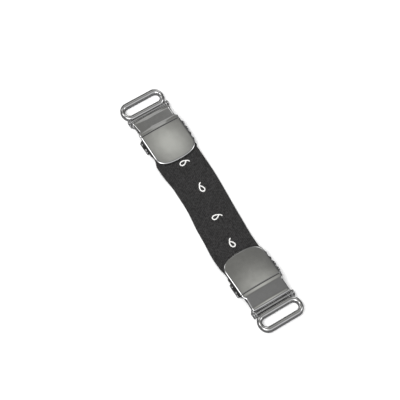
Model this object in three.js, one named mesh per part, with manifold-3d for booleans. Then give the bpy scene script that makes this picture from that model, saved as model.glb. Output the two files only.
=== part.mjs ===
// A shirt stay: a short elastic strap with a chrome lever clip at each end.
// Millimetres, +Z up. The strap runs along X and lies on the surface z = 0, with the origin under
// its middle. A clip is drawn once in its own frame: x runs from the eye's outer edge inward along
// the strap, y across it. Clip a stands at the -X end, and clip b is clip a turned round. Both are
// clamped on a little askew, so the strap runs between them in a slack S.
import * as THREE from 'three';
import { mergeVertices } from 'three/addons/utils/BufferGeometryUtils.js';
import Module from 'manifold-3d';

const wasm = await Module();
wasm.setup();

// The strap.
const strapWidth = 25;
const strapThick = 1.2;
const strapFree = 64.2; // between the two flaps' tips
const strapTuck = 21.4; // how far each end runs in under its flap
const strapLift = 0.15; // under the middle of the strap, where it sags almost to the surface
const strapRamp = 13; // the stretch over which it sinks from the clip's mouth
const strapEdge = 0.35; // rounding of the selvedges
const clipTurn = 1.55 * Math.PI / 180; // how far each clip is clamped askew

// Sheet metal and clearances.
const plateThick = 0.7;
const lidThick = 0.6;
const gap = 0.3; // between neighbours that touch or turn on the real clip

// The eye: an oval ring, rolled to an open channel from below.
const slotShort = 3; // its slot is this much shorter than the strap is wide
const slotWidth = 5.2;
const rimWidth = 3.2;
const rimEndWidth = 2.5; // of the rim at the slot's two ends
const rimHeight = 3.0;
const rimWall = 0.7;

// The plate under the strap, and its toothed side rails.
const plateReach = 2.2; // the plate ends this far short of the flap's tip
const plateCorner = 3;
const plateInset = 1.3; // from the strap's selvedge to the plate's edge, between ears and rails
const earInset = 0.6; // from the eye's side to the ears' outer faces
const earFoot = 0.7; // the plate stays as wide as the ears for this far past them
const railGap = 0.6; // from the strap's selvedge to the rail
const railStart = 13.6; // from the pin to the rail's start
const railLength = 8.0;
const railWall = 1.0; // of the wall between the teeth, above the plate
const toothRise = 1.5; // of the teeth above that wall
const toothPitch = 3.8;
const railTaper = 2.0; // the stretches over which the plate changes its width

// The hinge pin.
const pinRadius = 0.6;
const pinSetback = 0.8; // from the eye's rear edge to the pin's axis
const pinProud = 0.3; // of each end past its ear
const pinDome = 0.2; // rounding of its ends
const knuckleWall = 0.55; // of metal round the pin's hole
const knuckleTurn = 15 * Math.PI / 180; // round the pin, where a flange's top leaves its knuckle
const earRise = 0.35; // how deep an upright is rooted in the metal that carries it

// The lid.
const heelLength = 11.5; // from the heel's front to the crease
const flapLength = 22.5; // from the crease to the tip
const heelFoot = 0.6; // from the plate to the heel's lower edge
const heelRadius = 1.4; // of the bend at the heel's top
const heelLevel = 0.5; // of the level stretch behind that bend
const heelSlope = Math.tan(10 * Math.PI / 180); // of its top from there, which ramps up to the crest
const heelSoft = 1.2; // length of the bend at each end of that ramp
const heelCorner = 1.5; // rounding of the heel's lower corners
const heelWaist = 0.2; // how far the heel draws in before the flap
const crestLength = 1.6; // of the level crest before the crease
const shoulderLength = 2.0; // over which the lid widens to the flap, before the crest
const creaseRise = 1.3; // of the crease above the flap's tip
const creaseSoft = 0.7; // half length of the crease's bend
const flapStart = Math.tan(1.5 * Math.PI / 180); // its slope where it leaves the crease
const flapOver = 0.3; // from the strap's selvedge out to the flap's edge
const flapEnd = 8.2; // depth of the flap's rounded end
const flapSquare = 2.7; // power of that end's superellipse, where 2 is a plain oval
const flapCrown = 0.45; // of the flap's middle above its margins
const marginRadius = 1.1; // of the turned-down margins
const marginTurn = 70 * Math.PI / 180;
const flangeLength = 5.2; // of the lid's side flanges behind the heel's front
const flangeTurn = 0.55; // of the margin's bend, in radians from level, where the flanges hang

// Places worked out from the sizes above, in the clip's own frame.
const slotLength = strapWidth - slotShort;
const eyeDepth = slotWidth + 2 * rimWidth;
const eyeHalf = slotLength / 2 + rimEndWidth;
const pinX = eyeDepth + pinSetback;
const holeRadius = pinRadius + gap;
const knuckleRadius = holeRadius + knuckleWall;
const pinZ = plateThick + gap + knuckleRadius;
const heelX = pinX + pinRadius + gap;
const shoulderX = heelX + heelRadius;
const rampX = shoulderX + heelLevel;
const creaseX = heelX + heelLength;
const crestX = creaseX - crestLength;
const tipX = creaseX + flapLength;
const earOuter = eyeHalf - earInset;
const earInner = earOuter - plateThick;
const heelHalf = earInner - gap;
const flangeOuter = heelHalf - marginRadius * (1 - Math.cos(flangeTurn));
const flangeInner = flangeOuter - lidThick;
const flapHalf = strapWidth / 2 + flapOver;
// The flanges are rooted in the sheet this far below the heel's top.
const flangeRoot = marginRadius * (1 - Math.sin(flangeTurn)) + flapCrown * (flangeOuter / flapHalf) ** 2;
const plateHalf = strapWidth / 2 - plateInset;
const railInner = strapWidth / 2 + railGap;
const railOuter = railInner + plateThick;
const strapLow = plateThick + gap;
const strapHigh = strapLow + strapThick;
const marginDepth = lidThick + (marginRadius - lidThick) * (1 - Math.cos(marginTurn)) + flapCrown;
const tipZ = strapHigh + gap + marginDepth;
const creaseZ = tipZ + creaseRise;
const heelZ = creaseZ - heelSlope * (crestX - rampX - heelSoft);
const clipX = strapFree / 2 + tipX * Math.cos(clipTurn); // of each eye, from the strap's middle
const clipY = -eyeDepth / 2 * Math.sin(clipTurn); // each clip is turned about its eye's centre

// A closed mesh from points and triangles: like points are merged, and flat triangles are dropped.
function closedMesh(points, triangles) {
  const raw = new THREE.BufferGeometry();
  raw.setAttribute('position', new THREE.Float32BufferAttribute(points.flat(), 3));
  raw.setIndex(triangles.flat());
  return welded(raw);
}

function welded(geometry) {
  geometry.deleteAttribute('normal');
  geometry.deleteAttribute('uv');
  const merged = mergeVertices(geometry, 1e-4);
  const index = merged.index.array;
  const kept = [];
  for (let i = 0; i < index.length; i += 3) {
    const [a, b, c] = [index[i], index[i + 1], index[i + 2]];
    if (a !== b && b !== c && c !== a) kept.push(a, b, c);
  }
  merged.setIndex(kept);
  return merged;
}

function solid(geometry) {
  const tidy = welded(geometry);
  return new wasm.Manifold(new wasm.Mesh({
    numProp: 3,
    vertProperties: new Float32Array(tidy.attributes.position.array),
    triVerts: new Uint32Array(tidy.index.array),
  }));
}

function joined(solids) {
  const whole = solids.reduce((all, next) => all.add(next)).getMesh();
  const geometry = new THREE.BufferGeometry();
  geometry.setAttribute('position', new THREE.BufferAttribute(whole.vertProperties, 3));
  geometry.setIndex(new THREE.BufferAttribute(whole.triVerts, 1));
  geometry.computeVertexNormals();
  return geometry;
}

// Joins rows of points into a skin. closedRows says that each row is a ring, closedStack that the
// last row meets the first.
function skin(rows, closedRows, closedStack) {
  const width = rows[0].length;
  const triangles = [];
  const rowSteps = closedStack ? rows.length : rows.length - 1;
  const columnSteps = closedRows ? width : width - 1;
  for (let i = 0; i < rowSteps; i++) {
    for (let j = 0; j < columnSteps; j++) {
      const here = i * width;
      const next = ((i + 1) % rows.length) * width;
      const k = (j + 1) % width;
      triangles.push([here + j, next + j, next + k], [here + j, next + k, here + k]);
    }
  }
  return triangles;
}

// A slab of constant thickness across the clip, from a shape drawn in x and z.
function uprightSlab(shape, yLow, yHigh) {
  const slab = new THREE.ExtrudeGeometry(shape, {
    depth: yHigh - yLow, bevelEnabled: false, curveSegments: 10,
  });
  slab.rotateX(Math.PI / 2);
  slab.translate(0, yHigh, 0);
  return solid(slab);
}

// The same slab on both sides of the clip.
function bothSides(shape, inner, outer) {
  return [uprightSlab(shape, inner, outer), uprightSlab(shape, -outer, -inner)];
}

// The oval eye: an arch of sheet, swept round the slot.
function eyeRing() {
  const middle = eyeDepth / 2;
  const straight = slotLength / 2 - slotWidth / 2;
  const endNarrow = 1 - rimEndWidth / rimWidth;
  const archZ = rimHeight - rimWidth / 2;
  const section = [];
  for (const [radius, turn] of [[rimWidth / 2, 1], [rimWidth / 2 - rimWall, -1]]) {
    section.push([turn * radius, 0]);
    for (let k = 0; k <= 8; k++) {
      const angle = Math.PI * k / 8;
      section.push([turn * radius * Math.cos(angle), archZ + radius * Math.sin(angle)]);
    }
    section.push([-turn * radius, 0]);
  }
  const rows = [];
  for (const side of [1, -1]) {
    for (let k = 0; k <= 12; k++) {
      const angle = (side > 0 ? 0 : Math.PI) + Math.PI * k / 12;
      const width = 1 - endNarrow * Math.sin(angle) ** 2;
      rows.push(section.map(([out, z]) => {
        const radius = slotWidth / 2 + (rimWidth / 2 + out) * width;
        return [middle + radius * Math.cos(angle), side * straight + radius * Math.sin(angle), z];
      }));
    }
  }
  return solid(closedMesh(rows.flat(), skin(rows, true, true)));
}

// The flat plate, from the eye's rear wall to under the flap.
function plate() {
  const start = eyeDepth - rimWall + 0.1 * rimWall;
  const foot = pinX + knuckleRadius + earFoot;
  const railFrom = pinX + railStart;
  const railTo = railFrom + railLength;
  const end = tipX - plateReach;
  const side = [
    [start, earOuter], [foot, earOuter], [foot + railTaper, plateHalf],
    [railFrom - railTaper, plateHalf], [railFrom, railOuter],
    [railTo, railOuter], [railTo + railTaper, plateHalf], [end - plateCorner, plateHalf],
  ];
  const outline = new THREE.Shape();
  outline.moveTo(start, -earOuter);
  for (const [x, y] of side) outline.lineTo(x, -y);
  outline.quadraticCurveTo(end, -plateHalf, end, plateCorner - plateHalf);
  outline.lineTo(end, plateHalf - plateCorner);
  outline.quadraticCurveTo(end, plateHalf, end - plateCorner, plateHalf);
  for (const [x, y] of side.reverse()) outline.lineTo(x, y);
  outline.closePath();
  return solid(new THREE.ExtrudeGeometry(outline, {
    depth: plateThick, bevelEnabled: false, curveSegments: 6,
  }));
}

// A side rail seen from the side: a low wall with a row of rounded teeth.
function railShape() {
  const from = pinX + railStart;
  const low = plateThick + railWall;
  const teeth = Math.max(1, Math.floor(railLength / toothPitch));
  const lead = (railLength - teeth * toothPitch) / 2;
  const shape = new THREE.Shape();
  shape.moveTo(from, plateThick - earRise);
  shape.lineTo(from, plateThick);
  shape.lineTo(from + lead, low);
  for (let tooth = 0; tooth < teeth; tooth++) {
    const start = from + lead + tooth * toothPitch;
    for (let k = 1; k <= 8; k++) {
      const lift = 0.5 - 0.5 * Math.cos(2 * Math.PI * k / 8);
      shape.lineTo(start + toothPitch * k / 8, low + toothRise * lift);
    }
  }
  shape.lineTo(from + railLength, plateThick);
  shape.lineTo(from + railLength, plateThick - earRise);
  shape.closePath();
  return shape;
}

// An upright with a hole for the pin: its head is round, and its foot is as deep as footZ.
function earShape(footZ) {
  const shape = new THREE.Shape();
  shape.moveTo(pinX - knuckleRadius, footZ);
  shape.lineTo(pinX + knuckleRadius, footZ);
  shape.lineTo(pinX + knuckleRadius, pinZ);
  shape.absarc(pinX, pinZ, knuckleRadius, 0, Math.PI, false);
  shape.closePath();
  return withPinHole(shape);
}

function withPinHole(shape) {
  const hole = new THREE.Path();
  hole.absarc(pinX, pinZ, holeRadius, 0, 2 * Math.PI, true);
  shape.holes.push(hole);
  return shape;
}

function clipBase() {
  return joined([
    eyeRing(),
    plate(),
    ...bothSides(railShape(), railInner, railOuter),
    ...bothSides(earShape(plateThick - earRise), earInner, earOuter),
  ]);
}

// The pin, a little proud of each ear.
function hingePin() {
  const end = earOuter + pinProud;
  const profile = [[0, -end], [pinRadius - pinDome, -end], [pinRadius, -end + pinDome]];
  const mirrored = profile.map(([r, y]) => [r, -y]).reverse();
  const points = [...profile, ...mirrored].map(([r, y]) => new THREE.Vector2(r, y));
  const pin = new THREE.LatheGeometry(points, 16);
  pin.translate(pinX, 0, pinZ);
  return joined([solid(pin)]);
}

// The lid's outer surface along the middle of the clip, from the heel's lower edge to the tip.
function lidPath() {
  const path = new THREE.Path();
  const bend = heelSoft / 2;
  const flapX = creaseX + creaseSoft;
  const middleX = (flapX + tipX) / 2;
  path.moveTo(heelX, plateThick + heelFoot);
  path.lineTo(heelX, heelZ - heelRadius);
  path.absarc(shoulderX, heelZ - heelRadius, heelRadius, Math.PI, Math.PI / 2, true);
  path.lineTo(rampX, heelZ);
  path.quadraticCurveTo(rampX + bend, heelZ, rampX + heelSoft, heelZ + heelSlope * bend);
  path.lineTo(crestX - heelSoft, creaseZ - heelSlope * bend);
  path.quadraticCurveTo(crestX - bend, creaseZ, crestX, creaseZ);
  path.lineTo(creaseX - creaseSoft, creaseZ);
  path.quadraticCurveTo(creaseX, creaseZ, flapX, creaseZ - flapStart * creaseSoft);
  path.quadraticCurveTo(middleX, creaseZ - flapStart * (middleX - creaseX), tipX, tipZ);
  return path;
}

// A point of the path at a length along it, with the outward normal there.
function stationAt(path, length, along) {
  const t = THREE.MathUtils.clamp(along / length, 0, 1);
  const at = path.getPointAt(t);
  const way = path.getTangentAt(THREE.MathUtils.clamp(t, 1e-4, 1 - 1e-4));
  return { x: at.x, z: at.y, normalX: -way.y, normalZ: way.x };
}

// Half the lid's width, before its rounded end.
function lidHalf(x, along) {
  const mix = THREE.MathUtils.smoothstep;
  const corner = heelCorner * (1 - mix(along, 0, 2 * heelCorner));
  const waist = heelWaist * mix(x, shoulderX, crestX - shoulderLength);
  const heel = heelHalf - corner - waist;
  return heel + (flapHalf - heel) * mix(x, crestX - shoulderLength, crestX);
}

// The lid's sheet. Its edge is followed in the flat, as length along the path and y, and each row
// crosses it from one edge to the other: down the rolled margin, across the crown, and up again.
function lidSheet() {
  const path = lidPath();
  path.arcLengthDivisions = 800;
  const length = path.getLength();
  const edge = [];
  const straightTo = length - flapEnd;
  const bendTo = heelZ - plateThick - heelFoot + heelRadius;
  const crease = length - flapLength;
  const stops = [0, 0.35, 0.7, 1.0, 1.3, 1.6, 2.0, 2.4, 3.2].map((k) => k / 3.2 * bendTo);
  for (let k = 1; k <= 7; k++) stops.push(bendTo + (crease - 1.2 * creaseSoft - bendTo) * k / 7);
  for (const k of [-0.6, 0, 0.6, 1.2]) stops.push(crease + k * creaseSoft);
  for (let k = 1; k <= 4; k++) stops.push(crease + creaseSoft + (straightTo - crease) * k / 4.3);
  for (const along of stops) {
    edge.push({ along, y: lidHalf(stationAt(path, length, along).x, along), inAlong: 0, inY: -1 });
  }
  for (let k = 0; k <= 9; k++) {
    const angle = Math.PI / 2 * k / 9;
    const forward = Math.sin(angle) ** (2 / flapSquare);
    const sideways = Math.cos(angle) ** (2 / flapSquare);
    const inward = new THREE.Vector2(
      -(forward ** (flapSquare - 1)) / flapEnd, -(sideways ** (flapSquare - 1)) / flapHalf,
    ).normalize();
    edge.push({
      along: straightTo + flapEnd * forward, y: flapHalf * sideways,
      inAlong: inward.x, inY: inward.y,
    });
  }

  const turns = [1, 0.72, 0.45, 0.2, 0].map((k) => k * marginTurn);
  const across = 8;
  const skinRows = [0, lidThick].map((depth) => edge.map((stop) => {
    const flat = [];
    const radius = marginRadius - depth;
    for (const turn of turns) {
      const inset = marginRadius - radius * Math.sin(turn);
      const drop = marginRadius - radius * Math.cos(turn);
      flat.push([stop.along + stop.inAlong * inset, Math.max(0, stop.y + stop.inY * inset), drop]);
    }
    const [along, half, drop] = flat[flat.length - 1];
    const row = [...flat];
    for (let k = 1; k < across; k++) row.push([along, half * (1 - 2 * k / across), drop]);
    for (const [a, y, d] of flat.reverse()) row.push([a, -y, d]);
    return row.map(([a, y, d]) => {
      const at = stationAt(path, length, a);
      const fall = d + flapCrown * (y / flapHalf) ** 2;
      return [at.x - at.normalX * fall, y, at.z - at.normalZ * fall];
    });
  }));

  // The outer and inner skins, and the cut edges between them.
  const [outer, inner] = skinRows;
  const rings = outer.map((row, i) => [...row, ...[...inner[i]].reverse()]);
  const width = rings[0].length;
  const triangles = skin(rings, true, false);
  for (const [row, flip] of [[0, false], [rings.length - 1, true]]) {
    for (let j = 0; j < width / 2 - 1; j++) {
      const [a, b] = [row * width + j, row * width + j + 1];
      const [c, d] = [row * width + width - 2 - j, row * width + width - 1 - j];
      triangles.push(...(flip ? [[a, c, b], [a, d, c]] : [[a, b, c], [a, c, d]]));
    }
  }
  return solid(closedMesh(rings.flat(), triangles.map(([a, b, c]) => [a, c, b])));
}

// A side flange that carries the lid on the pin: a round knuckle, and a web up to the sheet.
function flangeShape() {
  const shape = new THREE.Shape();
  const root = heelZ - flangeRoot;
  const back = heelX + flangeLength;
  const backRoot = root + heelSlope * (back - rampX - heelSoft / 2);
  shape.moveTo(pinX, pinZ - knuckleRadius);
  shape.lineTo(shoulderX, pinZ - knuckleRadius + gap);
  shape.lineTo(back, backRoot - 2 * lidThick);
  shape.lineTo(back, backRoot);
  shape.lineTo(shoulderX, root - 0.1 * heelRadius);
  shape.absarc(pinX, pinZ, knuckleRadius, knuckleTurn, 1.5 * Math.PI, false);
  shape.closePath();
  return withPinHole(shape);
}

function clipLid() {
  return joined([lidSheet(), ...bothSides(flangeShape(), flangeInner, flangeOuter)]);
}

// The strap's middle line in plan: straight in the clips, and an S between their mouths.
function strapLine(x) {
  const mouth = strapFree / 2;
  const slope = Math.tan(clipTurn);
  const side = clipY + (clipX - mouth) * slope;
  const cubic = (slope + side / mouth) / (2 * mouth ** 2);
  const linear = -side / mouth - cubic * mouth ** 2;
  if (Math.abs(x) > mouth) {
    return { y: (x - Math.sign(x) * mouth) * slope - Math.sign(x) * side, slope };
  }
  return { y: linear * x + cubic * x ** 3, slope: linear + 3 * cubic * x ** 2 };
}

// The strap: flat in the clips, and sunk towards the surface between them.
function strap() {
  const mouth = strapFree / 2;
  const end = mouth + strapTuck;
  const half = strapWidth / 2;
  const stops = [end, mouth + strapTuck / 2];
  for (let k = 0; k <= 7; k++) stops.push(mouth - strapRamp * k / 7);
  for (let k = 1; k < 4; k++) stops.push((mouth - strapRamp) * (1 - k / 4));
  const line = [...stops.map((x) => -x), 0, ...stops.reverse()];
  const rows = line.map((x) => {
    const sunk = 1 - THREE.MathUtils.smoothstep(Math.abs(x), mouth - strapRamp, mouth);
    const low = strapLow + (strapLift - strapLow) * sunk;
    const high = low + strapThick;
    const { y, slope } = strapLine(x);
    const across = 1 / Math.hypot(slope, 1);
    return [
      [-half + strapEdge, low], [half - strapEdge, low],
      [half, low + strapEdge], [half, high - strapEdge],
      [half - strapEdge, high], [-half + strapEdge, high],
      [-half, high - strapEdge], [-half, low + strapEdge],
    ].map(([out, z]) => [x - out * slope * across, y + out * across, z]);
  });
  const width = rows[0].length;
  const last = (rows.length - 1) * width;
  const triangles = skin(rows, true, false).map(([a, b, c]) => [a, c, b]);
  for (let j = 1; j < width - 1; j++) {
    triangles.push([0, j + 1, j], [last, last + j, last + j + 1]);
  }
  return joined([solid(closedMesh(rows.flat(), triangles))]);
}

const chrome = () => new THREE.MeshStandardMaterial({
  color: 0xc4c6c8, metalness: 1, roughness: 0.12,
});
const elastic = new THREE.MeshStandardMaterial({ color: 0x3c3c3e, metalness: 0, roughness: 0.9 });

function named(name, geometry, material) {
  const mesh = new THREE.Mesh(geometry, material);
  mesh.name = name;
  return mesh;
}

function clip(letter) {
  const group = new THREE.Group();
  group.add(named(`base_${letter}`, clipBase(), chrome()));
  group.add(named(`pin_${letter}`, hingePin(), chrome()));
  group.add(named(`lid_${letter}`, clipLid(), chrome()));
  return group;
}

const group = new THREE.Group();
group.add(named('strap', strap(), elastic));
const clipA = clip('a');
clipA.position.set(-clipX, clipY, 0);
clipA.rotation.z = clipTurn;
const clipB = clip('b');
clipB.position.set(clipX, -clipY, 0);
clipB.rotation.z = Math.PI + clipTurn;
group.add(clipA, clipB);

export default group;
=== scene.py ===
"""A shirt stay: a charcoal elastic strap with a chrome lever clip at each end."""
import math

import bmesh
import bpy
from mathutils import Matrix, Vector


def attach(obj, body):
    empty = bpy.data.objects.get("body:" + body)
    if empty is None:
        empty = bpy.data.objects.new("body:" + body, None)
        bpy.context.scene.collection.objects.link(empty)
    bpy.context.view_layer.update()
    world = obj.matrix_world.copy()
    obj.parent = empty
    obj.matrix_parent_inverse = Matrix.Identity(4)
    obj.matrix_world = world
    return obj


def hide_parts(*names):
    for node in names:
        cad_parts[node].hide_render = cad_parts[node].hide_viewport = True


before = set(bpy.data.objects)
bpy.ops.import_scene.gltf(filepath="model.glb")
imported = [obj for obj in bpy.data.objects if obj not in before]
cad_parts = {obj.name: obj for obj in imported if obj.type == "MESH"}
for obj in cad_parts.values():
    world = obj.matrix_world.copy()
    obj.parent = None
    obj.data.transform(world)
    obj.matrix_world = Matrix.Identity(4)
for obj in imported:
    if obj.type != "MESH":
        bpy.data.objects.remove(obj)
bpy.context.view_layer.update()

MM = 0.001

# Sizes in millimetres, as in the part's source.
STRAP_WIDTH = 25.0
STRAP_THICK = 1.2
STRAP_FREE = 64.2  # between the two flaps' tips
STRAP_TUCK = 21.4  # how far each end runs in under its flap
STRAP_LIFT = 0.15  # height of its middle over the surface it lies on
STRAP_RAMP = 13.0  # length over which each end climbs to its clip's plate
CLIP_TURN = math.radians(1.55)  # how far each clip sits askew
PLATE_THICK = 0.7
LID_THICK = 0.6
GAP = 0.3  # clearance between the pieces
SLOT_LENGTH = STRAP_WIDTH - 3.0  # of the eye's slot, across the strap
SLOT_WIDTH = 5.2  # along the strap
PLATE_LAP = 0.9  # share of the rim's wall that the plate runs in under
RIM_WIDTH = 3.2  # of the eye's rim, along the slot's long sides
RIM_END_WIDTH = 2.5  # and at the slot's ends
RIM_HEIGHT = 3.0
RIM_WALL = 0.7  # of the sheet that the rim is rolled from
PLATE_REACH = 2.2  # by which the lid's tip passes the plate's end
PLATE_CORNER = 3.0  # radius
PLATE_INSET = 1.3  # of the plate's sides from the strap's edges
EAR_INSET = 0.6  # of the ears from the eye's ends
EAR_FOOT = 0.7  # how far past the ears the plate keeps their width
EAR_RISE = 0.35  # how deep the ears and rails reach into the plate
RAIL_GAP = 0.6  # between the strap's edge and a toothed rail
RAIL_START = 13.6  # from the pin's axis
RAIL_LENGTH = 8.0
RAIL_WALL = 1.0  # height of a rail over the plate, below its teeth
RAIL_TAPER = 2.0  # of the lug that carries it
TOOTH_RISE = 1.5
TOOTH_PITCH = 3.8
PIN_RADIUS = 0.6
PIN_SETBACK = 0.8  # from the eye's rim to the pin's axis
PIN_PROUD = 0.3  # how far the pin passes the ears
PIN_DOME = 0.2  # radius of the rounding at its ends
KNUCKLE_WALL = 0.55  # round the pin's hole
KNUCKLE_TURN = math.radians(15)  # round the pin, where a flange's top leaves its knuckle
HEEL_LENGTH = 11.5  # of the lid from its back edge to the crease
FLAP_LENGTH = 22.5  # from the crease to the tip
HEEL_FOOT = 0.6  # from the plate up to the lid's lower edge
HEEL_RADIUS = 1.4  # of the bend from the heel's wall to its top
HEEL_SLOPE = math.tan(math.radians(10))  # of its top, which ramps up to the crest
HEEL_SOFT = 1.2  # length of the soft bends in its top
HEEL_LEVEL = 0.5  # of the level stretch before that ramp
HEEL_CORNER = 1.5  # by which its wall narrows at the lower corners
HEEL_WAIST = 0.2  # by which its sides draw in towards the shoulder
CREST_LENGTH = 1.6  # of the level crest before the crease
SHOULDER_LENGTH = 2.0  # over which the lid widens to the flap, before the crest
CREASE_RISE = 1.3  # of the crease above the flap's tip
CREASE_SOFT = 0.7  # half the length of the crease's bend
FLAP_START = math.tan(math.radians(1.5))  # slope of the flap where it leaves the crease
FLAP_OVER = 0.3  # by which the flap passes the strap's edges
FLAP_END = 8.2  # length of its rounded end
FLAP_SQUARE = 2.7  # power of the curve that rounds it
FLAP_CROWN = 0.45  # by which its edges lie below its middle
MARGIN_RADIUS = 1.1  # of the outside of the turned-down margin
MARGIN_TURN = math.radians(70)  # how far it turns down
FLANGE_LENGTH = 5.2  # from the lid's back edge
FLANGE_DROP = 0.1  # of the flange's top at the shoulder, as a share of the heel's radius
FLANGE_TURN = 0.55  # of the margin's bend, in radians from level, where the flanges hang

# Places in a clip's own frame: x from the eye's outer edge inward along the strap, y across it.
EYE_DEPTH = SLOT_WIDTH + 2 * RIM_WIDTH
EYE_HALF = SLOT_LENGTH / 2 + RIM_END_WIDTH
PIN_X = EYE_DEPTH + PIN_SETBACK
HOLE_RADIUS = PIN_RADIUS + GAP
KNUCKLE_RADIUS = HOLE_RADIUS + KNUCKLE_WALL
PIN_Z = PLATE_THICK + GAP + KNUCKLE_RADIUS
HEEL_X = PIN_X + PIN_RADIUS + GAP
SHOULDER_X = HEEL_X + HEEL_RADIUS
CREASE_X = HEEL_X + HEEL_LENGTH
CREST_X = CREASE_X - CREST_LENGTH
TIP_X = CREASE_X + FLAP_LENGTH
EAR_OUTER = EYE_HALF - EAR_INSET
EAR_INNER = EAR_OUTER - PLATE_THICK
HEEL_HALF = EAR_INNER - GAP
FLANGE_OUTER = HEEL_HALF - MARGIN_RADIUS * (1 - math.cos(FLANGE_TURN))
FLANGE_INNER = FLANGE_OUTER - LID_THICK
FLAP_HALF = STRAP_WIDTH / 2 + FLAP_OVER
FLANGE_ROOT = MARGIN_RADIUS * (1 - math.sin(FLANGE_TURN)) + FLAP_CROWN * (FLANGE_OUTER / FLAP_HALF) ** 2
PLATE_HALF = STRAP_WIDTH / 2 - PLATE_INSET
RAIL_INNER = STRAP_WIDTH / 2 + RAIL_GAP
RAIL_OUTER = RAIL_INNER + PLATE_THICK
STRAP_LOW = PLATE_THICK + GAP
STRAP_HIGH = STRAP_LOW + STRAP_THICK
MARGIN_DEPTH = LID_THICK + (MARGIN_RADIUS - LID_THICK) * (1 - math.cos(MARGIN_TURN)) + FLAP_CROWN
TIP_Z = STRAP_HIGH + GAP + MARGIN_DEPTH
CREASE_Z = TIP_Z + CREASE_RISE
RAMP_X = SHOULDER_X + HEEL_LEVEL
HEEL_Z = CREASE_Z - HEEL_SLOPE * (CREST_X - RAMP_X - HEEL_SOFT)
MOUTH = STRAP_FREE / 2
CLIP_X = MOUTH + TIP_X * math.cos(CLIP_TURN)
CLIP_Y = -EYE_DEPTH / 2 * math.sin(CLIP_TURN)

# Finish of the metal.
PLATE_COLOUR = (0.80, 0.80, 0.80)
WIRE_COLOUR = (0.72, 0.72, 0.72)
DARK_PATCH = 0.93  # share of the metal's colour that its darkest patches have
HAZE_ROUGH = (0.04, 0.09)  # roughness of the clearest patches and of the haziest
SCRATCH_ROUGH = 0.05  # what the rubbed scratches add to it
EDGE_ROUND = 0.14  # of the sheet's cut edges
CREASE_GROOVE = 0.16  # depth of the fine line scored at the crease
CREASE_GROOVE_HALF = 0.26  # and half its width
CREASE_SHADE_COLOUR = (0.16, 0.16, 0.16, 1)  # colour of the painted shade that darkens that line
SOFT_ANGLE = math.radians(34)  # faces that meet at less than this shade as one surface

# Finish of the cloth.
RIB_PITCH = 0.95  # of the lengthwise ribs
RIB_RISE = 0.055  # and how far they stand out
SELVEDGE = 0.55  # radius of the rounded edge
CLOTH_STEP = 0.6  # between the mesh's rows, along the strap
WEFT_PITCH = 0.42  # of the woven rows across the strap
RIB_COLUMNS = 6  # of the mesh, to each rib
CLOTH_DARK = (0.005, 0.005, 0.005, 1)
CLOTH_PALE = (0.045, 0.044, 0.044, 1)
THREAD_DARK = (0.70, 0.69, 0.67, 1)
THREAD_PALE = (0.93, 0.93, 0.92, 1)

# The floor.
FLOOR_HALF = 2000.0
FLOOR_DROP = 0.02  # under the object
PAPER_DARK = (0.86, 0.86, 0.86, 1)
PAPER_PALE = (0.9, 0.9, 0.9, 1)
PAPER_PAINTED_REFLECTION = (0.13, 0.13, 0.132, 1)  # painted reflection: the darker tone that the paper has only as the polished metal shows it

# Fineness of the meshes.
MERGE_METRES = 2e-6  # points nearer than this are one
EMPTY_METRES = 1e-7  # edges shorter than this are dropped
ROUND_SIDES = 40  # of the pin and its hole
CREASE_ZONE = 1.5  # on both sides of the crease, where the lid's rows lie close
LID_COLUMNS = 40  # across each face of the lid, between the margins
EDGE_ROWS = (0.02, 0.12, 0.3, 0.6)  # of the heel's rounded cut edge, as shares of its depth


def smoothstep(value, low, high):
    t = min(1.0, max(0.0, (value - low) / (high - low)))
    return t * t * (3 - 2 * t)


def spread(low, high, count):
    """count + 1 values from low to high, evenly spaced."""
    return [low + (high - low) * k / count for k in range(count + 1)]


def placed(name, data):
    """A new object in the scene."""
    made = bpy.data.objects.new(name, data)
    bpy.context.scene.collection.objects.link(made)
    return made


# The camera, at the photograph's viewing angle.
SENSOR_MM = 36.0
LENS_MM = 135.4
AIM_MM = (-6.31, -2.01, 0.0)
VIEW_AZIMUTH = math.radians(59.41)
VIEW_ELEVATION = math.radians(64.0)
VIEW_DISTANCE_MM = 825.0


def make_camera():
    away = Vector((
        math.sin(VIEW_AZIMUTH) * math.cos(VIEW_ELEVATION),
        -math.cos(VIEW_AZIMUTH) * math.cos(VIEW_ELEVATION),
        math.sin(VIEW_ELEVATION),
    ))
    data = bpy.data.cameras.new("camera")
    data.lens = LENS_MM
    data.sensor_width = SENSOR_MM
    data.clip_start = 0.01
    data.clip_end = 10.0
    camera = placed("camera", data)
    camera.location = (Vector(AIM_MM) + away * VIEW_DISTANCE_MM) * MM
    camera.rotation_euler = (-away).to_track_quat("-Z", "Y").to_euler()
    bpy.context.scene.camera = camera


# Nodes and materials.
class Nodes:
    """A node tree, with short calls for its nodes."""

    def __init__(self, tree):
        self.tree = tree

    def node(self, kind, **settings):
        made = self.tree.nodes.new(kind)
        for key, value in settings.items():
            setattr(made, key, value)
        return made

    def link(self, source, target):
        if isinstance(source, bpy.types.NodeSocket):
            self.tree.links.new(source, target)
        else:
            target.default_value = source

    def math(self, operation, first, second=0.0, clamp=False):
        made = self.node("ShaderNodeMath", operation=operation, use_clamp=clamp)
        self.link(first, made.inputs[0])
        self.link(second, made.inputs[1])
        return made.outputs[0]

    def vector_math(self, operation, first, second):
        made = self.node("ShaderNodeVectorMath", operation=operation)
        self.link(first, made.inputs[0])
        self.link(second, made.inputs["Scale" if operation == "SCALE" else 1])
        return made.outputs["Value" if operation == "DOT_PRODUCT" else "Vector"]

    def ramp(self, value, low, high, to_low, to_high, curve="LINEAR"):
        made = self.node("ShaderNodeMapRange", interpolation_type=curve)
        for source, target in zip((value, low, high, to_low, to_high), made.inputs[:5]):
            self.link(source, target)
        return made.outputs[0]

    def split(self, vector):
        made = self.node("ShaderNodeSeparateXYZ")
        self.link(vector, made.inputs[0])
        return made.outputs


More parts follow.
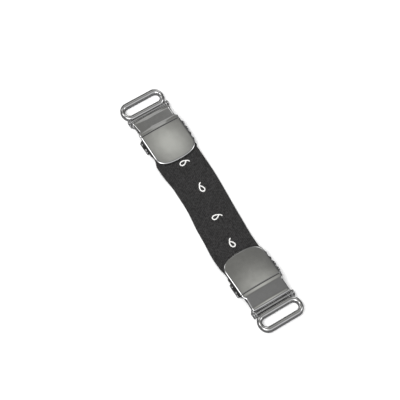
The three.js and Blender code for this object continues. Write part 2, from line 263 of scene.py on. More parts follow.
class Shade(Nodes):
    """The nodes of a new material."""

    def __init__(self, name):
        self.material = bpy.data.materials.new(name)
        self.material.use_nodes = True
        super().__init__(self.material.node_tree)
        self.shader = self.tree.nodes["Principled BSDF"]

    def spot(self):
        return self.node("ShaderNodeTexCoord").outputs["Object"]

    def noise(self, vector, scale, detail=2.0, roughness=0.5):
        made = self.node("ShaderNodeTexNoise")
        self.link(vector, made.inputs["Vector"])
        made.inputs["Scale"].default_value = scale
        made.inputs["Detail"].default_value = detail
        made.inputs["Roughness"].default_value = roughness
        return made.outputs["Fac"]

    def mix(self, factor, first, second):
        made = self.node("ShaderNodeMix", data_type="RGBA")
        self.link(factor, made.inputs["Factor"])
        self.link(first, made.inputs["A"])
        self.link(second, made.inputs["B"])
        return made.outputs["Result"]

    def stretched(self, vector, scale):
        made = self.node("ShaderNodeMapping")
        self.link(vector, made.inputs["Vector"])
        made.inputs["Scale"].default_value = scale
        return made.outputs["Vector"]

    def bump(self, height, strength, distance):
        made = self.node("ShaderNodeBump")
        made.inputs["Strength"].default_value = strength
        made.inputs["Distance"].default_value = distance
        self.link(height, made.inputs["Height"])
        self.link(made.outputs["Normal"], self.shader.inputs["Normal"])


def chrome_material(name, colour):
    """Polished plate: a slight haze in patches, fine rubbed scratches, and a faint ripple."""
    shade = Shade(name)
    spot = shade.spot()
    haze = shade.noise(spot, scale=260.0, detail=3.0, roughness=0.6)
    rubbed = shade.stretched(spot, (1.0, 14.0, 1.0))
    scratches = shade.noise(rubbed, scale=900.0, detail=2.0, roughness=0.7)
    rough = shade.math("ADD", shade.ramp(haze, 0.35, 0.75, *HAZE_ROUGH),
                       shade.ramp(scratches, 0.55, 0.8, 0.0, SCRATCH_ROUGH))
    shade.link(rough, shade.shader.inputs["Roughness"])
    tone = shade.ramp(haze, 0.3, 0.7, 0.0, 1.0)
    dull = tuple(DARK_PATCH * c for c in colour)
    plated = shade.mix(tone, (*dull, 1), (*colour, 1))
    # Painted shade: the crease marks darken the metal's colour along the crease line.
    crease = shade.node("ShaderNodeAttribute", attribute_name="crease").outputs["Fac"]
    shade.link(shade.mix(crease, plated, CREASE_SHADE_COLOUR), shade.shader.inputs["Base Color"])
    shade.shader.inputs["Metallic"].default_value = 1.0
    ripple = shade.noise(spot, scale=150.0, detail=1.0, roughness=0.4)
    shade.bump(ripple, strength=0.10, distance=0.0004)
    return shade.material


def cloth_material():
    """Woven elastic: ribs along the strap, crossed by fine rows of weft, in uneven charcoal."""
    shade = Shade("elastic_weave")
    uv = shade.node("ShaderNodeUVMap", uv_map="weave").outputs[0]
    along, across = shade.split(uv)[:2]
    column = shade.math("MULTIPLY", across, math.pi / RIB_PITCH)
    rib = shade.math("ABSOLUTE", shade.math("SINE", column))
    count = shade.math("FLOOR", shade.math("DIVIDE", across, RIB_PITCH))
    turn = shade.math("MULTIPLY", count, math.pi / 2)
    row = shade.math("MULTIPLY", along, math.pi / WEFT_PITCH)
    weft = shade.math("ABSOLUTE", shade.math("SINE", shade.math("ADD", row, turn)))
    knit = shade.math("MULTIPLY", rib, weft)
    grain = shade.noise(uv, scale=2.6, detail=3.0, roughness=0.6)
    speckle = shade.noise(uv, scale=0.95, detail=2.0, roughness=0.7)
    cloudy = shade.noise(uv, scale=0.22, detail=2.0, roughness=0.5)
    height = shade.math("ADD", knit, shade.math("MULTIPLY", grain, 0.5))
    lit = shade.math("ADD", shade.math("MULTIPLY", knit, 0.5), shade.math("MULTIPLY", grain, 0.4))
    lit = shade.math("ADD", lit, shade.ramp(speckle, 0.35, 0.65, -0.26, 0.32))
    lit = shade.math("ADD", lit, shade.ramp(cloudy, 0.3, 0.7, -0.10, 0.10), clamp=True)
    shade.link(shade.mix(lit, CLOTH_DARK, CLOTH_PALE), shade.shader.inputs["Base Color"])
    shade.shader.inputs["Roughness"].default_value = 0.88
    shade.shader.inputs["Specular IOR Level"].default_value = 0.25
    shade.shader.inputs["Sheen Weight"].default_value = 0.12
    shade.shader.inputs["Sheen Roughness"].default_value = 0.5
    shade.bump(height, strength=0.6, distance=0.00012)
    return shade.material


def thread_material():
    """White thread with a fine twist."""
    shade = Shade("white_thread")
    spot = shade.spot()
    strands = shade.stretched(spot, (1.0, 0.35, 1.0))
    twist = shade.noise(strands, scale=9000.0, detail=2.0, roughness=0.6)
    shade.link(shade.mix(twist, THREAD_DARK, THREAD_PALE), shade.shader.inputs["Base Color"])
    shade.shader.inputs["Roughness"].default_value = 0.7
    shade.shader.inputs["Sheen Weight"].default_value = 0.2
    shade.bump(twist, strength=0.4, distance=0.00005)
    return shade.material


def floor_material():
    """Pale paper, with a painted reflection: polished metal mirrors it as a darker tone than it has."""
    shade = Shade("floor_paper")
    grain = shade.noise(shade.spot(), scale=400.0, detail=2.0, roughness=0.5)
    # Painted reflection: glossy rays see the paper in a darker tone than the camera does.
    mirrored = shade.node("ShaderNodeLightPath").outputs["Is Glossy Ray"]
    paper = shade.mix(grain, PAPER_DARK, PAPER_PALE)
    shade.link(shade.mix(mirrored, paper, PAPER_PAINTED_REFLECTION), shade.shader.inputs["Base Color"])
    shade.shader.inputs["Roughness"].default_value = 1.0
    shade.shader.inputs["Specular IOR Level"].default_value = 0.0
    return shade.material


# Mesh code.
def mesh_object(name, points, faces, material=None):
    """An object from points in millimetres."""
    mesh = bpy.data.meshes.new(name)
    mesh.from_pydata([Vector(p) * MM for p in points], [], faces)
    if material:
        mesh.materials.append(material)
    return placed(name, mesh)


def tidy(made):
    """Merges like points, drops empty faces and turns the faces outward."""
    bm = bmesh.new()
    bm.from_mesh(made.data)
    bmesh.ops.remove_doubles(bm, verts=bm.verts, dist=MERGE_METRES)
    bmesh.ops.dissolve_degenerate(bm, edges=bm.edges, dist=EMPTY_METRES)
    bmesh.ops.recalc_face_normals(bm, faces=bm.faces)
    bm.to_mesh(made.data)
    bm.free()
    return made


def lofted(name, rings, closed_stack, material=None):
    """A closed skin through rings of points. Where the stack is open, its ends are capped."""
    width = len(rings[0])
    faces = []
    for i in range(len(rings) if closed_stack else len(rings) - 1):
        here, there = i * width, (i + 1) % len(rings) * width
        for j in range(width):
            k = (j + 1) % width
            faces.append((here + j, there + j, there + k, here + k))
    if not closed_stack:
        faces.append(tuple(range(width)))
        faces.append(tuple(len(rings) * width - 1 - j for j in range(width)))
    return tidy(mesh_object(name, [p for ring in rings for p in ring], faces, material))


def prism(name, outline, low, high, upright):
    """A slab with softly rounded rims. Its outline is in x and y, or in x and z if upright."""
    bm = bmesh.new()

    def corner(a, b, level):
        return bm.verts.new(Vector((a, level, b) if upright else (a, b, level)) * MM)

    bottom = [corner(a, b, low) for a, b in outline]
    top = [corner(a, b, high) for a, b in outline]
    count = len(outline)
    bm.faces.new(bottom)
    bm.faces.new(top)
    for j in range(count):
        k = (j + 1) % count
        bm.faces.new((bottom[j], bottom[k], top[k], top[j]))
    bmesh.ops.recalc_face_normals(bm, faces=bm.faces)
    rims = [e for e in bm.edges if (e.verts[0] in top) == (e.verts[1] in top)]
    bmesh.ops.bevel(bm, geom=rims, offset=EDGE_ROUND * MM, segments=3, profile=0.5, affect="EDGES")
    mesh = bpy.data.meshes.new(name)
    bm.to_mesh(mesh)
    bm.free()
    return placed(name, mesh)


def combined(made, others, operation):
    """Joins the other solids to the first, or cuts them from it, and deletes them."""
    for other in others:
        step = made.modifiers.new("combine", "BOOLEAN")
        step.operation = operation
        step.solver = "EXACT"
        step.object = other
    graph = bpy.context.evaluated_depsgraph_get()
    mesh = bpy.data.meshes.new_from_object(made.evaluated_get(graph))
    made.modifiers.clear()
    made.data = mesh
    for other in others:
        bpy.data.objects.remove(other)
    return tidy(made)


def shaded(made, material):
    """Gives a solid one material and smooth shading with crisp edges."""
    made.data.materials.clear()
    made.data.materials.append(material)
    for face in made.data.polygons:
        face.material_index = 0
    made.data.shade_smooth()
    made.data.set_sharp_from_angle(angle=SOFT_ANGLE)
    return made


def on_pin(name, profile):
    """A solid turned about the hinge pin's axis, from a profile of radius and y."""
    angles = [2 * math.pi * k / ROUND_SIDES for k in range(ROUND_SIDES)]
    rings = []
    for radius, y in profile:
        rings.append([(radius * math.cos(angle), y, radius * math.sin(angle)) for angle in angles])
    made = lofted(name, rings, False)
    made.data.transform(Matrix.Translation(Vector((PIN_X, 0, PIN_Z)) * MM))
    return made


def pin_hole():
    return on_pin("drill", [(HOLE_RADIUS, -EYE_HALF - 1), (HOLE_RADIUS, EYE_HALF + 1)])


def round_the_pin(start, end, steps):
    """An arc of a knuckle's outline, in x and z."""
    arc = []
    for angle in spread(start, end, steps):
        arc.append((PIN_X + KNUCKLE_RADIUS * math.cos(angle),
                    PIN_Z + KNUCKLE_RADIUS * math.sin(angle)))
    return arc


# The clip's base.
def eye_ring():
    """The oval eye: an arch of sheet with rounded lower edges, swept round the slot."""
    outer, inner = RIM_WIDTH / 2, RIM_WIDTH / 2 - RIM_WALL
    arch_z = RIM_HEIGHT - outer
    lip = RIM_WALL / 2
    section = []
    # Its outside, its edge by the slot, its inside and its outer edge.
    for angle in spread(0, math.pi, 28):
        section.append((outer * math.cos(angle), arch_z + outer * math.sin(angle)))
    for angle in spread(math.pi, 2 * math.pi, 8):
        section.append((-outer + lip + lip * math.cos(angle), lip + lip * math.sin(angle)))
    for angle in spread(math.pi, 0, 14):
        section.append((inner * math.cos(angle), arch_z + inner * math.sin(angle)))
    for angle in spread(math.pi, 2 * math.pi, 8):
        section.append((outer - lip + lip * math.cos(angle), lip + lip * math.sin(angle)))
    straight = SLOT_LENGTH / 2 - SLOT_WIDTH / 2
    rings = []
    for side, start in ((1, 0.0), (-1, math.pi)):
        for angle in spread(start, start + math.pi, 44):
            width = 1 - (1 - RIM_END_WIDTH / RIM_WIDTH) * math.sin(angle) ** 2
            ring = []
            for out, z in section:
                radius = SLOT_WIDTH / 2 + (outer + out) * width
                ring.append((EYE_DEPTH / 2 + radius * math.cos(angle),
                             side * straight + radius * math.sin(angle), z))
            rings.append(ring)
    return lofted("ring", rings, True)


def plate():
    """The flat plate under the strap, with a lug on each side for its toothed rail."""
    start = EYE_DEPTH - PLATE_LAP * RIM_WALL
    foot = PIN_X + KNUCKLE_RADIUS + EAR_FOOT
    rail_from = PIN_X + RAIL_START
    rail_to = rail_from + RAIL_LENGTH
    end = TIP_X - PLATE_REACH
    side = [
        (start, EAR_OUTER), (foot, EAR_OUTER), (foot + RAIL_TAPER, PLATE_HALF),
        (rail_from - RAIL_TAPER, PLATE_HALF), (rail_from, RAIL_OUTER),
        (rail_to, RAIL_OUTER), (rail_to + RAIL_TAPER, PLATE_HALF),
    ]
    for angle in spread(math.pi / 2, 0, 8):
        side.append((end - PLATE_CORNER + PLATE_CORNER * math.cos(angle),
                     PLATE_HALF - PLATE_CORNER + PLATE_CORNER * math.sin(angle)))
    outline = [(x, -y) for x, y in side] + [(x, y) for x, y in reversed(side)]
    return prism("plate", outline, 0.0, PLATE_THICK, False)


def rail_outline():
    """A low wall with a row of rounded teeth, seen from the side."""
    start = PIN_X + RAIL_START
    low = PLATE_THICK + RAIL_WALL
    teeth = max(1, int(RAIL_LENGTH / TOOTH_PITCH))
    lead = (RAIL_LENGTH - teeth * TOOTH_PITCH) / 2
    outline = [(start, PLATE_THICK - EAR_RISE), (start, PLATE_THICK)]
    steps = 14
    for k in range(teeth * steps + 1):
        lift = 0.5 - 0.5 * math.cos(2 * math.pi * k / steps)
        outline.append((start + lead + TOOTH_PITCH * k / steps, low + TOOTH_RISE * lift))
    outline.append((start + RAIL_LENGTH, PLATE_THICK))
    outline.append((start + RAIL_LENGTH, PLATE_THICK - EAR_RISE))
    return outline


def ear_outline():
    foot = PLATE_THICK - EAR_RISE
    corners = [(PIN_X - KNUCKLE_RADIUS, foot), (PIN_X + KNUCKLE_RADIUS, foot)]
    return corners + round_the_pin(0, math.pi, 20)


def both_sides(name, outline, inner, outer):
    """An upright slab and its like on the clip's other side."""
    return [prism(name, outline, inner, outer, True), prism(name, outline, -outer, -inner, True)]


def clip_base():
    made = eye_ring()
    others = [plate()]
    others += both_sides("rail", rail_outline(), RAIL_INNER, RAIL_OUTER)
    others += both_sides("ear", ear_outline(), EAR_INNER, EAR_OUTER)
    return combined(combined(made, others, "UNION"), [pin_hole()], "DIFFERENCE")


# The lid.
def bezier(points, count):
    """count points of a curve through its control points, without the first."""
    made = []
    for k in range(1, count + 1):
        t = k / count
        row = [Vector(p) for p in points]
        while len(row) > 1:
            row = [a.lerp(b, t) for a, b in zip(row, row[1:])]
        made.append(tuple(row[0]))
    return made


class Path:
    """The lid's outer surface along the middle of the clip, from the heel's lower edge to the tip."""

    def __init__(self):
        bend = HEEL_SOFT / 2
        middle_x = (CREASE_X + CREASE_SOFT + TIP_X) / 2
        line = [(HEEL_X, z) for z in spread(PLATE_THICK + HEEL_FOOT, HEEL_Z - HEEL_RADIUS, 10)]
        for angle in spread(math.pi, math.pi / 2, 60)[1:]:
            line.append((SHOULDER_X + HEEL_RADIUS * math.cos(angle),
                         HEEL_Z - HEEL_RADIUS + HEEL_RADIUS * math.sin(angle)))
        line += bezier([line[-1], (RAMP_X, HEEL_Z)], 10)
        line += bezier([
            line[-1], (RAMP_X + bend, HEEL_Z), (RAMP_X + HEEL_SOFT, HEEL_Z + HEEL_SLOPE * bend),
        ], 30)
        line += bezier([line[-1], (CREST_X - HEEL_SOFT, CREASE_Z - HEEL_SLOPE * bend)], 60)
        line += bezier([line[-1], (CREST_X - bend, CREASE_Z), (CREST_X, CREASE_Z)], 30)
        line += bezier([line[-1], (CREASE_X - CREASE_SOFT, CREASE_Z)], 10)
        line += bezier([
            line[-1], (CREASE_X, CREASE_Z),
            (CREASE_X + CREASE_SOFT, CREASE_Z - FLAP_START * CREASE_SOFT),
        ], 60)
        line += bezier([
            line[-1], (middle_x, CREASE_Z - FLAP_START * (middle_x - CREASE_X)), (TIP_X, TIP_Z),
        ], 150)
        self.line = [Vector(p) for p in line]
        self.lengths = [0.0]
        for a, b in zip(self.line, self.line[1:]):
            self.lengths.append(self.lengths[-1] + (b - a).length)
        self.length = self.lengths[-1]
        ways = [(b - a).normalized() for a, b in zip(self.line, self.line[1:])]
        self.ways = [ways[0]] + [(a + b).normalized() for a, b in zip(ways, ways[1:])] + [ways[-1]]
        self.crease = self.length - FLAP_LENGTH

    def at(self, along):
        """The point and the outward normal at a length along the path."""
        along = min(max(along, 0.0), self.length)
        low, high = 0, len(self.lengths) - 1
        while high - low > 1:
            middle = (low + high) // 2
            if self.lengths[middle] <= along:
                low = middle
            else:
                high = middle
        t = (along - self.lengths[low]) / (self.lengths[high] - self.lengths[low])
        way = self.ways[low].lerp(self.ways[high], t).normalized()
        return self.line[low].lerp(self.line[high], t), Vector((-way.y, way.x))


def lid_half(x, along):
    """Half the lid's width, before its rounded end."""
    corner = HEEL_CORNER * (1 - smoothstep(along, 0, 2 * HEEL_CORNER))
    waist = HEEL_WAIST * smoothstep(x, SHOULDER_X, CREST_X - SHOULDER_LENGTH)
    heel = HEEL_HALF - corner - waist
    return heel + (FLAP_HALF - heel) * smoothstep(x, CREST_X - SHOULDER_LENGTH, CREST_X)


def lid_edge(path):
    """Stops along the lid's edge: place along the path, half width, and the way inward."""
    straight_to = path.length - FLAP_END
    bend_to = HEEL_Z - PLATE_THICK - HEEL_FOOT + HEEL_RADIUS
    close_from = path.crease - CREASE_ZONE
    close_to = path.crease + CREASE_ZONE
    alongs = spread(0, bend_to, 30) + spread(bend_to, close_from, 26)[1:]
    alongs += spread(close_from, close_to, 30)[1:]
    alongs += spread(close_to, straight_to, 18)[1:-1]
    edge = [(a, lid_half(path.at(a)[0].x, a), 0.0, -1.0) for a in alongs]
    for angle in spread(0, math.pi / 2, 44):
        forward = math.sin(angle) ** (2 / FLAP_SQUARE)
        sideways = abs(math.cos(angle)) ** (2 / FLAP_SQUARE)
        inward = Vector((-forward ** (FLAP_SQUARE - 1) / FLAP_END,
                         -sideways ** (FLAP_SQUARE - 1) / FLAP_HALF)).normalized()
        edge.append((straight_to + FLAP_END * forward, FLAP_HALF * sideways, inward.x, inward.y))
    return edge


def margin_section():
    """The turned-down margin with its round cut edge: outer face, edge and inner face, as pairs of
    inset from the lid's edge and drop below its surface. Each comes with the sheet's middle there."""
    half = LID_THICK / 2
    middle = MARGIN_RADIUS - half
    end = MARGIN_TURN - half / middle

    def place(radius, turn):
        return Vector((MARGIN_RADIUS - radius * math.sin(turn),
                       MARGIN_RADIUS - radius * math.cos(turn)))

    turns = spread(0, end, 9)
    outer = [(place(MARGIN_RADIUS, t), place(middle, t)) for t in turns]
    inner = [(place(MARGIN_RADIUS - LID_THICK, t), place(middle, t)) for t in reversed(turns)]
    centre = place(middle, end)
    radial = Vector((-math.sin(end), -math.cos(end)))
    onward = Vector((-math.cos(end), math.sin(end)))
    cap = []
    for angle in spread(0, math.pi, 8)[1:-1]:
        cap.append((centre + half * (math.cos(angle) * radial + math.sin(angle) * onward), centre))
    return outer + cap + inner


def lid_sheet():
    """The lid's bent sheet, as rows across it from the heel's lower edge to the tip."""
    path = Path()
    section = margin_section()
    half_edge = LID_THICK / 2
    rings = []

    def place(along, y, drop):
        """The point that lies so far below the sheet's outer surface."""
        at, normal = path.at(along)
        off = (along - path.crease) / CREASE_GROOVE_HALF
        fall = drop + FLAP_CROWN * (y / FLAP_HALF) ** 2
        if drop < half_edge:  # the groove is in the outer face only
            fall += CREASE_GROOVE * math.exp(-off * off)
        return Vector((at.x - normal.x * fall, y, at.y - normal.y * fall))

    def ring(stop, fullness):
        """One row round the sheet. Its fullness is the share of the sheet's thickness there."""
        along, half, in_along, in_y = stop
        made = []
        for side in (1, -1):
            row = section if side > 0 else section[::-1]
            for (inset, drop), (mid_inset, mid_drop) in row:
                inset = mid_inset + (inset - mid_inset) * fullness
                drop = mid_drop + (drop - mid_drop) * fullness
                y = side * max(0.0, half + in_y * inset)
                made.append(place(along + in_along * inset, y, drop))
            inset, drop = MARGIN_RADIUS, half_edge + side * half_edge * fullness
            reach = max(0.0, half + in_y * inset)
            for k in range(1, LID_COLUMNS):
                y = side * reach * (1 - 2 * k / LID_COLUMNS)
                made.append(place(along + in_along * inset, y, drop))
        return made

    edge = lid_edge(path)
    for share in EDGE_ROWS:
        first = (share * half_edge, *edge[0][1:])
        rings.append(ring(first, math.sqrt(1 - (1 - share) ** 2)))
    for stop in edge:
        if stop[0] >= half_edge:
            rings.append(ring(stop, 1.0))
    return lofted("sheet", rings, False)


def flange_outline():
    """The web that carries the lid on the pin, with its round knuckle."""
    root = HEEL_Z - FLANGE_ROOT
    back = HEEL_X + FLANGE_LENGTH
    back_root = root + HEEL_SLOPE * (back - RAMP_X - HEEL_SOFT / 2)
    outline = [
        (SHOULDER_X, PIN_Z - KNUCKLE_RADIUS + GAP),
        (back, back_root - 2 * LID_THICK),
        (back, back_root),
        (SHOULDER_X, root - FLANGE_DROP * HEEL_RADIUS),
    ]
    return outline + round_the_pin(KNUCKLE_TURN, 1.5 * math.pi, 28)


def crease_shade_marked(made):
    """Marks the crease line, for the painted shade along it."""
    marks = made.data.attributes.new("crease", "FLOAT", "POINT")
    for vertex, mark in zip(made.data.vertices, marks.data):
        off = (vertex.co.x / MM - CREASE_X) / CREASE_GROOVE_HALF
        mark.value = math.exp(-off * off) if vertex.co.z > (CREASE_Z - 2 * LID_THICK) * MM else 0.0
    return made


def clip_lid():
    flanges = both_sides("flange", flange_outline(), FLANGE_INNER, FLANGE_OUTER)
    solid = combined(lid_sheet(), flanges, "UNION")
    return crease_shade_marked(combined(solid, [pin_hole()], "DIFFERENCE"))


def hinge_pin():
    """The pin, with rounded ends that stand a little proud of the ears."""
    end = EAR_OUTER + PIN_PROUD
    profile = [(PIN_DOME / 4, -end)]
    for angle in spread(0, math.pi / 2, 6):
        profile.append((PIN_RADIUS - PIN_DOME * (1 - math.sin(angle)),
                        -end + PIN_DOME * (1 - math.cos(angle))))
    return on_pin("pin", profile + [(radius, -y) for radius, y in reversed(profile)])


def clip_place(letter):
    """Where a clip stands in the object's frame."""
    side = -1 if letter == "a" else 1
    turn = CLIP_TURN if letter == "a" else math.pi + CLIP_TURN
    stand = Vector((side * CLIP_X, -side * CLIP_Y, 0)) * MM
    return Matrix.Translation(stand) @ Matrix.Rotation(turn, 4, "Z")


# The strap.
def strap_line(x):
    """The strap's middle line in plan: its y, and its slope."""
    slope = math.tan(CLIP_TURN)
    side = CLIP_Y + (CLIP_X - MOUTH) * slope
    cubic = (slope + side / MOUTH) / (2 * MOUTH ** 2)
    linear = -side / MOUTH - cubic * MOUTH ** 2
    if abs(x) > MOUTH:
        return (x - math.copysign(MOUTH, x)) * slope - math.copysign(side, x), slope
    return linear * x + cubic * x ** 3, linear + 3 * cubic * x ** 2


def strap_low(x):
    """Height of the strap's underside."""
    sunk = 1 - smoothstep(abs(x), MOUTH - STRAP_RAMP, MOUTH)
    return STRAP_LOW + (STRAP_LIFT - STRAP_LOW) * sunk


# Where the teeth pinch the selvedges: how far each bulge begins from the flap's tip, how long it is,
# and how far it stands out, on the side towards -Y and on the other.
BULGES_NEAR = [(13.2, 7.8, 1.7), (9.4, 3.8, 0.6)]
BULGES_FAR = [(17.6, 3.4, 1.2), (13.8, 3.4, 1.4), (10.0, 3.4, 1.2), (6.4, 3.0, 0.9), (2.8, 2.8, 0.5)]
BULGE_ROUND = 0.8  # a power that makes the bulges fuller than a sine
# The selvedge also stands out, or draws in, where it leaves the lids: at each clip, near or far.
MOUTH_BULGES = {("a", True): 1.7, ("b", True): 1.0, ("a", False): -0.5, ("b", False): -0.5}
MOUTH_FULL = 2.0  # on both sides of the flap's tip, where this has its full size
MOUTH_FADE = 16.0  # from the tip along the free strap, where it has died away
MOUTH_END = 8.0  # and from the tip in under the flap
WAIST = (-3.0, 15.0, 0.6)  # where the near selvedge draws in: middle, half length and depth
SELVEDGE_BAND = 3.0  # width of the margin that follows its selvedge out
SELVEDGE_CURL = 0.6  # how far the selvedge rises for each mm that it stands out


def selvedge_bulge(x, near):
    """How far a selvedge stands out of its straight line at x."""
    inside = abs(x) - MOUTH
    bulge = MOUTH_BULGES["a" if x < 0 else "b", near]
    bulge *= smoothstep(inside, -MOUTH_FADE, -MOUTH_FULL)
    bulge *= 1 - smoothstep(inside, MOUTH_FULL, MOUTH_END)
    middle, half, depth = WAIST
    if near and abs(x - middle) < half:
        bulge -= depth * math.cos(math.pi / 2 * (x - middle) / half) ** 2
    for start, length, reach in (BULGES_NEAR if near else BULGES_FAR):
        t = (inside - start) / length
        if 0 < t < 1:
            bulge += reach * math.sin(math.pi * t) ** BULGE_ROUND
    return bulge


def strap_point(x, across, height):
    """A point of the strap from its place along and across, and its height over the underside."""
    y, slope = strap_line(x)
    unit = 1 / math.hypot(slope, 1)
    return (x - across * slope * unit, y + across * unit, strap_low(x) + height)


def strap_ring(x):
    """One row round the strap: the ribbed face, a selvedge, the underside and the other selvedge."""
    half = STRAP_WIDTH / 2
    flat = half - SELVEDGE
    bulges = {side: selvedge_bulge(x, side < 0) for side in (-1, 1)}
    columns = int(STRAP_WIDTH / RIB_PITCH) * RIB_COLUMNS
    made = []

    def add(across, height):
        side = 1 if across > 0 else -1
        pull = smoothstep(abs(across), half - SELVEDGE_BAND, half)
        out = across + side * pull * bulges[side]
        up = SELVEDGE_CURL * max(0.0, bulges[side]) * pull
        made.append(strap_point(x, out, height + up))

    def add_selvedge(side, start, end):
        for angle in spread(start, end, 8)[1:-1]:
            add(side * flat + SELVEDGE * math.cos(angle), STRAP_THICK / 2 * (1 + math.sin(angle)))

    for across in spread(-flat, flat, columns):
        add(across, STRAP_THICK + RIB_RISE * (abs(math.sin(math.pi * across / RIB_PITCH)) - 1))
    add_selvedge(1, math.pi / 2, -math.pi / 2)
    for across in spread(flat, -flat, columns // 2):
        add(across, 0.0)
    add_selvedge(-1, -math.pi / 2, -1.5 * math.pi)
    return made


def strap_cloth(material):
    """The strap, with a map in millimetres along it and across it for the weave."""
    end = MOUTH + STRAP_TUCK
    rows = int(2 * end / CLOTH_STEP)
    rings = [strap_ring(x) for x in spread(-end, end, rows)]
    made = lofted("strap_cloth", rings, False, material)
    layer = made.data.uv_layers.new(name="weave")
    for loop in made.data.loops:
        at = made.data.vertices[loop.vertex_index].co / MM
        y, slope = strap_line(at.x)
        layer.data[loop.index].uv = (at.x + (at.y - y) * slope, at.y - y)
    made.data.shade_smooth()
    return made


# The woven loops: place along the strap and across it from its middle, and the turn of the drop.
MOTIFS = [
    (-48.6, 0.9, 12), (-30.0, 0.6, -78), (-12.1, 1.3, 12),
    (7.2, 0.9, -78), (25.3, 0.1, 12), (44.3, 0.6, -78),
]
DROP_LENGTH = 4.0  # of a loop's drop
DROP_HALF = 1.45  # half its greatest width, before it is narrowed
DROP_END = math.radians(172)  # round the drop from its broad end, where its two ends cross
DROP_POINT = 0.7  # a power that narrows the drop towards that crossing
TAIL_LENGTH = 2.0  # of the hook that its thread ends in
TAIL_START = math.radians(20)  # how far the tail turns from the drop's axis at once
TAIL_BEND = math.radians(58)  # and how much further by its end
STROKE_HALF = 0.33  # half the width of a loop's stroke
FLOAT_RADIUS = 0.13  # of a thread's floats, which fill the stroke
FLOAT_THIN = 0.45  # the ends' share of that radius
FLOAT_PITCH = 0.21  # between neighbouring floats
FLOAT_SUNK = 0.06  # of its middle line into the cloth at its ends
FLOAT_BOW = 0.10  # and how far it rises from there
FLOAT_LAP = 0.05  # how far each float runs out past the stroke
FLOAT_STEP = 0.06  # between the places that are tried for a float's ends


def motif_line():
    """An open drop whose thread crosses at its point and runs on in a short hook."""
    line = []
    for angle in spread(-DROP_END, DROP_END, 40):
        narrow = math.sin((math.pi - abs(angle)) / 2) ** DROP_POINT
        line.append(Vector((DROP_LENGTH / 2 * math.cos(angle),
                            DROP_HALF * math.sin(angle) * narrow)))
    steps = 10
    for k in range(steps):
        turn = TAIL_START + TAIL_BEND * (k + 0.5) / steps
        line.append(line[-1] + TAIL_LENGTH / steps * Vector((-math.cos(turn), math.sin(turn))))
    middle = Vector((TAIL_LENGTH / 3, 0))
    return [point + middle for point in line]


def off_line(point, line):
    """Distance from a point to a broken line."""
    best = math.inf
    for a, b in zip(line, line[1:]):
        way = b - a
        t = min(1.0, max(0.0, (point - a).dot(way) / way.length_squared))
        best = min(best, (point - a - way * t).length)
    return best


def float_thread(points, faces, x, low, high):
    """One float of white thread across the strap, which dips into the cloth at its ends."""
    sides, stops = 8, 6
    start = len(points)
    for s in range(stops + 1):
        t = s / stops
        bow = math.sin(math.pi * t) ** 0.5 if 0 < t < 1 else 0.0
        radius = FLOAT_RADIUS * (FLOAT_THIN + (1 - FLOAT_THIN) * bow)
        rise = STRAP_THICK + FLOAT_BOW * bow - FLOAT_SUNK
        for k in range(sides):
            angle = 2 * math.pi * k / sides
            points.append(strap_point(
                x + radius * math.cos(angle), low + (high - low) * t, rise + radius * math.sin(angle),
            ))
    for s in range(stops):
        for k in range(sides):
            here, there, n = start + s * sides, start + (s + 1) * sides, (k + 1) % sides
            faces.append((here + k, there + k, there + n, here + n))
    faces.append(tuple(start + k for k in range(sides)))
    faces.append(tuple(start + stops * sides + k for k in reversed(range(sides))))


def stroke_span(values):
    """The range of some values of a stroke's middle line, widened by half the stroke."""
    return min(values) - STROKE_HALF, max(values) + STROKE_HALF


def woven_loops(material):
    """All the loops. Each is a stroke filled with floats, which lie side by side along the strap."""
    points, faces = [], []
    drop = motif_line()
    for along, aside, turn in MOTIFS:
        spin = Matrix.Rotation(math.radians(turn), 2)
        line = [spin @ p for p in drop]
        low_x, high_x = stroke_span([p.x for p in line])
        low_y, high_y = stroke_span([p.y for p in line])
        for k in range(int((high_x - low_x) / FLOAT_PITCH) + 1):
            x = low_x + k * FLOAT_PITCH
            begun = None
            steps = int((high_y - low_y) / FLOAT_STEP) + 2
            for n in range(steps + 1):
                y = low_y + n * FLOAT_STEP
                inside = off_line(Vector((x, y)), line) < STROKE_HALF
                if inside and begun is None:
                    begun = y
                if not inside and begun is not None:
                    low, high = aside + begun - FLOAT_LAP, aside + y + FLOAT_LAP
                    float_thread(points, faces, along + x, low, high)
                    begun = None
    made = tidy(mesh_object("woven_loops", points, faces, material))
    made.data.shade_smooth()
    return made


# Soft lights in the room: the way towards each, the degrees that it fades over along the strap and
# across it, and its colour and strength.
ROOM_TONE = (0.09, 0.09, 0.09)
GLOWS = [
    ((-0.315, 0.222, 0.926), 3.9, 5.0, (0.39, 0.394, 0.366)),  # above, mirrored by the flaps
    ((-0.45, 0.10, 0.887), 20, 17, (0.075, 0.074, 0.063)),  # the glow round it
    ((-0.68, 0.22, 0.70), 6, 10, (0.07, 0.07, 0.07)),  # left wall
    ((0.75, 0.16, 0.64), 22, 28, (0.60, 0.60, 0.61)),  # right wall
    ((-0.35, -0.62, 0.70), 6.5, 9, (3.6, 3.6, 3.6)),  # near left card
    ((0.40, -0.66, 0.63), 12, 14, (3.8, 3.8, 3.8)),  # near right card
    ((0.34, 0.74, 0.58), 8, 8, (2.6, 2.6, 2.6)),  # far right card
    ((-0.62, 0.56, 0.55), 5, 6, (2.6, 2.6, 2.6)),  # far left card
    ((-0.71, -0.22, 0.67), 5, 5, (2.4, 2.4, 2.4)),  # left card
]
# All this light grows with the height of the way, from one share at the lower height to the other.
WALL_HEIGHTS = (0.1, 0.55)
WALL_SHARES = (0.25, 1.0)

# A large soft light from above: its power, size and place in metres.
KEY_WATTS = 11.0
KEY_SIZE = 1.1
KEY_PLACE = (-0.15, -0.25, 0.95)

# A small dim card over the left clip, mirrored by that clip's heel.
CARD_WATTS = 0.012
CARD_SIZE = (0.11, 0.17)
CARD_PLACE = (-0.345, 0.115, 0.42)
CARD_AIM = (-0.062, 0.0, 0.004)


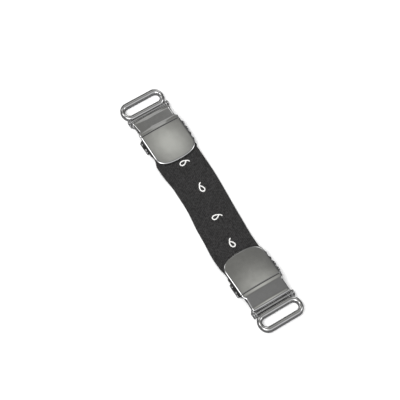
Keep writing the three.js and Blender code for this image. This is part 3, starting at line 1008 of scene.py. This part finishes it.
# The stage.
def world_light():
    """A dim studio room with soft cards of light."""
    world = bpy.data.worlds.new("studio")
    bpy.context.scene.world = world
    world.use_nodes = True
    room = Nodes(world.node_tree)
    way = room.node("ShaderNodeTexCoord").outputs["Generated"]

    def glow(towards, along, across, colour):
        """Light round one way, which fades over these angles along the strap and across it."""
        middle = Vector(towards).normalized()
        long_way = (Vector((1, 0, 0)) - middle * middle.x).normalized()
        off = 0.0
        for axis, angle in ((long_way, along), (middle.cross(long_way), across)):
            part = room.vector_math("DOT_PRODUCT", way, axis / math.sin(math.radians(angle)))
            off = room.math("ADD", room.math("MULTIPLY", part, part), off)
        fade = room.math("EXPONENT", room.math("MULTIPLY", off, -0.5))
        ahead = room.math("GREATER_THAN", room.vector_math("DOT_PRODUCT", way, middle), 0.0)
        return room.vector_math("SCALE", colour, room.math("MULTIPLY", fade, ahead))

    total = ROOM_TONE
    for row in GLOWS:
        total = room.vector_math("ADD", total, glow(*row))
    height = room.split(way)[2]
    share = room.ramp(height, *WALL_HEIGHTS, *WALL_SHARES, curve="SMOOTHSTEP")
    lit = room.vector_math("SCALE", total, share)
    room.link(lit, room.tree.nodes["Background"].inputs["Color"])


def area_light(name, watts, place, aim):
    made = placed(name, bpy.data.lights.new(name, "AREA"))
    made.data.energy = watts
    made.location = place
    made.rotation_euler = (Vector(aim) - Vector(place)).to_track_quat("-Z", "Y").to_euler()
    return made


def key_light():
    """Light for the cloth and the floor, which the metal doesn't mirror."""
    made = area_light("key", KEY_WATTS, KEY_PLACE, (0, 0, 0))
    made.data.size = KEY_SIZE
    made.visible_glossy = False


def card_light():
    made = area_light("card", CARD_WATTS, CARD_PLACE, CARD_AIM)
    made.data.shape = "RECTANGLE"
    made.data.size, made.data.size_y = CARD_SIZE


def make_floor():
    signs = ((-1, -1), (1, -1), (1, 1), (-1, 1))
    corners = [(x * FLOOR_HALF, y * FLOOR_HALF, -FLOOR_DROP) for x, y in signs]
    floor = mesh_object("floor", corners, [(0, 1, 2, 3)], floor_material())


def main():
    make_camera()
    chrome = chrome_material("chrome_plate", PLATE_COLOUR)
    wire = chrome_material("chrome_wire", WIRE_COLOUR)
    elastic = cloth_material()
    thread = thread_material()
    for name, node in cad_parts.items():
        node.data.materials.clear()
        node.data.materials.append(elastic if name == "strap" else chrome)

    cloth = strap_cloth(elastic)
    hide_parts("strap")
    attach(cloth, "root")
    loops = woven_loops(thread)
    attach(loops, "root")

    for kind, build, material in (
        ("base", clip_base, chrome),
        ("lid", clip_lid, chrome),
        ("pin", hinge_pin, wire),
    ):
        pattern = shaded(build(), material)
        for letter in "ab":
            made = placed(f"{kind}_{letter}_metal", pattern.data.copy())
            made.data.transform(clip_place(letter))
            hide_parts(f"{kind}_{letter}")
            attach(made, f"lid_{letter}" if kind == "lid" else "root")
        bpy.data.objects.remove(pattern)

    make_floor()
    world_light()
    key_light()
    card_light()
    bpy.context.scene.view_settings.view_transform = "Standard"


main()
